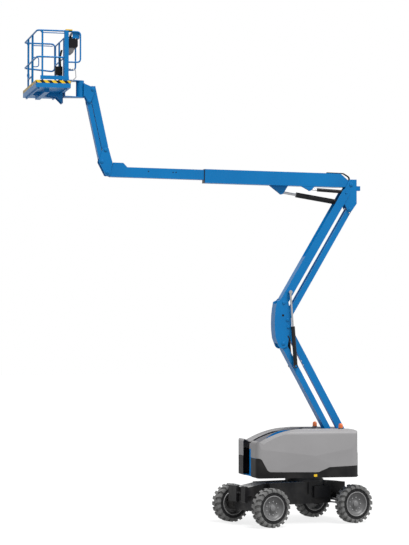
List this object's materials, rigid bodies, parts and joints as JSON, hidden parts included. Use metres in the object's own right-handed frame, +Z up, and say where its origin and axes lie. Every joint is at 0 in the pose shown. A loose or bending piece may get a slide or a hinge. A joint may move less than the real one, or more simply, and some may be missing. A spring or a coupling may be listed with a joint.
{
  "type": "articulating boom lift",
  "caption": "Self-propelled articulating boom lift with a battery turntable, a two-stage riser, a telescopic boom, a jib and a railed work platform.",
  "frame": {"origin": "on the ground, under the axis the turntable swings about", "axes": "+Z up, -X along the boom towards the platform at rest, +X towards the counterweight, Y across the boom plane"},
  "size_m": [7.1137, 2.5444, 9.9705],
  "materials": {
    "blue_paint": "gloss",
    "dark_paint": "satin",
    "black_paint": "satin",
    "bare_steel": "satin",
    "cowl_grey": "satin",
    "skirt_black": "matte",
    "tyre": "matte",
    "wheel_grey": "satin",
    "cast_mass": "matte",
    "battery_case": "matte",
    "amber_lens": "gloss",
    "console_black": "matte"
  },
  "bodies": {
    "chassis": {"chassis_frame": "dark_paint", "drive_axle": "dark_paint", "steer_axle": "dark_paint", "chassis_brackets": "black_paint"},
    "front_wheel_left": {"tyre_front_left": "tyre", "wheel_front_left": "wheel_grey"},
    "front_wheel_right": {"tyre_front_right": "tyre", "wheel_front_right": "wheel_grey"},
    "rear_wheel_left": {"tyre_rear_left": "tyre", "wheel_rear_left": "wheel_grey"},
    "rear_wheel_right": {"tyre_rear_right": "tyre", "wheel_rear_right": "wheel_grey"},
    "knuckle_left": {"steer_knuckle_left": "dark_paint"},
    "knuckle_right": {"steer_knuckle_right": "dark_paint"},
    "tie_rod": {"tie_rod": "bare_steel"},
    "turntable": {"turntable_frame": "blue_paint", "swing_bearing": "bare_steel", "counterweight": "cast_mass", "battery_left": "battery_case", "battery_right": "battery_case", "skirt_left": "skirt_black", "skirt_right": "skirt_black"},
    "cover_left": {"cover_left": "cowl_grey", "beacon_left": "amber_lens"},
    "cover_right": {"cover_right": "cowl_grey", "beacon_right": "amber_lens"},
    "lower_arm": {"lower_arm": "blue_paint"},
    "lower_link": {"lower_link": "blue_paint"},
    "elbow": {"elbow": "blue_paint"},
    "upper_arm": {"upper_arm": "blue_paint"},
    "upper_link": {"upper_link": "blue_paint"},
    "top_knuckle": {"top_knuckle": "blue_paint"},
    "riser_barrels": {"riser_barrels": "black_paint"},
    "riser_rods": {"riser_rods": "bare_steel"},
    "boom": {"boom_tube": "blue_paint", "boom_collar": "black_paint"},
    "lift_barrel": {"lift_barrel": "black_paint"},
    "lift_rod": {"lift_rod": "bare_steel"},
    "level_barrel": {"level_barrel": "black_paint"},
    "level_rod": {"level_rod": "bare_steel"},
    "extension": {"extension_tube": "blue_paint"},
    "tip_knuckle": {"tip_knuckle": "blue_paint"},
    "jib_arm": {"jib_arm": "blue_paint"},
    "jib_link": {"jib_link": "blue_paint"},
    "platform_mount": {"platform_mount": "blue_paint"},
    "platform": {"platform_bracket": "blue_paint", "platform_floor": "blue_paint", "platform_rails": "blue_paint", "control_console": "console_black", "foot_switch": "console_black"},
    "gate": {"platform_gate": "blue_paint"}
  },
  "joints": [
    {"name": "front_left_roll", "type": "hinge", "parent": "chassis", "child": "front_wheel_left", "pos_m": [-1.0285, -1.12442, 0.396], "axis": [-0.2957, 0.9553, 0], "continuous": true},
    {"name": "front_right_roll", "type": "hinge", "parent": "chassis", "child": "front_wheel_right", "pos_m": [-1.48389, 0.34671, 0.396], "axis": [-0.2957, 0.9553, 0], "continuous": true},
    {"name": "rear_left_roll", "type": "hinge", "parent": "knuckle_left", "child": "rear_wheel_left", "pos_m": [0.91072, -0.52413, 0.396], "axis": [-0.2957, 0.9553, 0], "continuous": true},
    {"name": "rear_right_roll", "type": "hinge", "parent": "knuckle_right", "child": "rear_wheel_right", "pos_m": [0.45533, 0.947, 0.396], "axis": [-0.2957, 0.9553, 0], "continuous": true},
    {"name": "steer_left", "type": "hinge", "parent": "chassis", "child": "knuckle_left", "pos_m": [0.85749, -0.35218, 0.396], "axis": [0, 0, 1], "range_deg": [-36, 36]},
    {"name": "steer_right", "type": "hinge", "parent": "chassis", "child": "knuckle_right", "pos_m": [0.50856, 0.77504, 0.396], "axis": [0, 0, 1], "range_deg": [-36.5, 36.5]},
    {"name": "tie_rod_pivot", "type": "hinge", "parent": "knuckle_left", "child": "tie_rod", "pos_m": [0.72375, -0.39358, 0.396], "axis": [0, 0, 1], "range_deg": [-36.5, 36.5]},
    {"name": "swing", "type": "hinge", "parent": "chassis", "child": "turntable", "pos_m": [0, 0, 0.892], "axis": [0, 0, 1], "range_deg": [-160.3, 194.7]},
    {"name": "cover_left_hinge", "type": "hinge", "parent": "turntable", "child": "cover_left", "pos_m": [0, -0.317, 1.905], "axis": [-1, 0, 0], "range_deg": [0, 60]},
    {"name": "cover_right_hinge", "type": "hinge", "parent": "turntable", "child": "cover_right", "pos_m": [0, 0.317, 1.905], "axis": [1, 0, 0], "range_deg": [0, 60]},
    {"name": "riser_lift", "type": "hinge", "parent": "turntable", "child": "lower_arm", "pos_m": [0.904, 0, 1.15], "axis": [0, 1, 0], "range_deg": [-59, 2]},
    {"name": "lower_link_pivot", "type": "hinge", "parent": "turntable", "child": "lower_link", "pos_m": [1.014, 0, 1.494], "axis": [0, 1, 0], "range_deg": [-59.5, 2.5]},
    {"name": "elbow_pivot", "type": "hinge", "parent": "lower_arm", "child": "elbow", "pos_m": [-0.48899, 0, 3.70493], "axis": [0, 1, 0], "range_deg": [-2.5, 59.5]},
    {"name": "upper_arm_pivot", "type": "hinge", "parent": "elbow", "child": "upper_arm", "pos_m": [-0.47499, 0, 4.55293], "axis": [0, 1, 0], "range_deg": [-2.5, 59.5]},
    {"name": "upper_link_pivot", "type": "hinge", "parent": "elbow", "child": "upper_link", "pos_m": [-0.39599, 0, 4.19693], "axis": [0, 1, 0], "range_deg": [-2.5, 59.5]},
    {"name": "top_knuckle_pivot", "type": "hinge", "parent": "upper_arm", "child": "top_knuckle", "pos_m": [0.88978, 0, 6.86985], "axis": [0, 1, 0], "range_deg": [-59.5, 2.5]},
    {"name": "riser_cylinder_pivot", "type": "hinge", "parent": "lower_arm", "child": "riser_barrels", "pos_m": [-0.24055, 0, 3.23673], "axis": [0, 1, 0], "range_deg": [-1.6, 47.2]},
    {"name": "riser_cylinder_stroke", "type": "slide", "parent": "riser_barrels", "child": "riser_rods", "axis": [-0.0715, 0, 0.9974], "range_m": [-0.6292, 0.0223]},
    {"name": "boom_lift", "type": "hinge", "parent": "top_knuckle", "child": "boom", "pos_m": [1.00078, 0, 7.03485], "axis": [0, 1, 0], "range_deg": [0, 75]},
    {"name": "lift_cylinder_pivot", "type": "hinge", "parent": "top_knuckle", "child": "lift_barrel", "pos_m": [0.84078, 0.046, 6.65485], "axis": [0, 1, 0], "range_deg": [0, 69.99]},
    {"name": "lift_cylinder_stroke", "type": "slide", "parent": "lift_barrel", "child": "lift_rod", "axis": [-0.9879, 0, 0.1553], "range_m": [-0.001, 0.4817]},
    {"name": "level_cylinder_pivot", "type": "hinge", "parent": "top_knuckle", "child": "level_barrel", "pos_m": [0.84478, -0.062, 6.88385], "axis": [0, 1, 0], "range_deg": [0, 77.88]},
    {"name": "level_cylinder_stroke", "type": "slide", "parent": "level_barrel", "child": "level_rod", "axis": [-0.9983, 0, 0.0578], "range_m": [-0.001, 0.2698]},
    {"name": "boom_extend", "type": "slide", "parent": "boom", "child": "extension", "axis": [-0.9999, 0, 0.0131], "range_m": [-0.75, 0.7]},
    {"name": "tip_knuckle_pivot", "type": "hinge", "parent": "extension", "child": "tip_knuckle", "pos_m": [-4.19253, 0, 7.19784], "axis": [0, 1, 0], "range_deg": [-75.5, 0.5]},
    {"name": "jib_lift", "type": "hinge", "parent": "tip_knuckle", "child": "jib_arm", "pos_m": [-4.22653, 0, 7.65584], "axis": [0, 1, 0], "range_deg": [-132, 2]},
    {"name": "jib_link_pivot", "type": "hinge", "parent": "tip_knuckle", "child": "jib_link", "pos_m": [-4.30753, 0, 7.41584], "axis": [0, 1, 0], "range_deg": [-132.5, 2.5]},
    {"name": "platform_mount_pivot", "type": "hinge", "parent": "jib_arm", "child": "platform_mount", "pos_m": [-4.49689, 0, 8.88547], "axis": [0, 1, 0], "range_deg": [-2.5, 132.5]},
    {"name": "platform_swing", "type": "hinge", "parent": "platform_mount", "child": "platform", "pos_m": [-4.74789, 0, 8.88547], "axis": [0, 0, 1], "range_deg": [-80, 80]},
    {"name": "gate_hinge", "type": "hinge", "parent": "platform", "child": "gate", "pos_m": [-5.75789, 0.36, 8.88547], "axis": [0, 0, 1], "range_deg": [0, 90]}
  ],
  "couplings": [
    {"joint": "steer_right", "follows": "steer_left", "ratio": 1},
    {"joint": "tie_rod_pivot", "follows": "steer_left", "ratio": -1},
    {"joint": "lower_link_pivot", "follows": "riser_lift", "ratio": 1},
    {"joint": "elbow_pivot", "follows": "riser_lift", "ratio": -1},
    {"joint": "upper_arm_pivot", "follows": "riser_lift", "ratio": -1},
    {"joint": "upper_link_pivot", "follows": "riser_lift", "ratio": -1},
    {"joint": "top_knuckle_pivot", "follows": "riser_lift", "ratio": 1},
    {"joint": "riser_cylinder_pivot", "follows": "riser_lift", "ratio": -0.78422},
    {"joint": "riser_cylinder_stroke", "follows": "riser_lift", "m_per_rad": 0.59814},
    {"joint": "lift_cylinder_pivot", "follows": "boom_lift", "ratio": 0.91486},
    {"joint": "lift_cylinder_stroke", "follows": "boom_lift", "m_per_rad": 0.36},
    {"joint": "level_cylinder_pivot", "follows": "boom_lift", "ratio": 1.018},
    {"joint": "level_cylinder_stroke", "follows": "boom_lift", "m_per_rad": 0.20135},
    {"joint": "tip_knuckle_pivot", "follows": "boom_lift", "ratio": -1},
    {"joint": "jib_link_pivot", "follows": "jib_lift", "ratio": 1},
    {"joint": "platform_mount_pivot", "follows": "jib_lift", "ratio": -1}
  ]
}
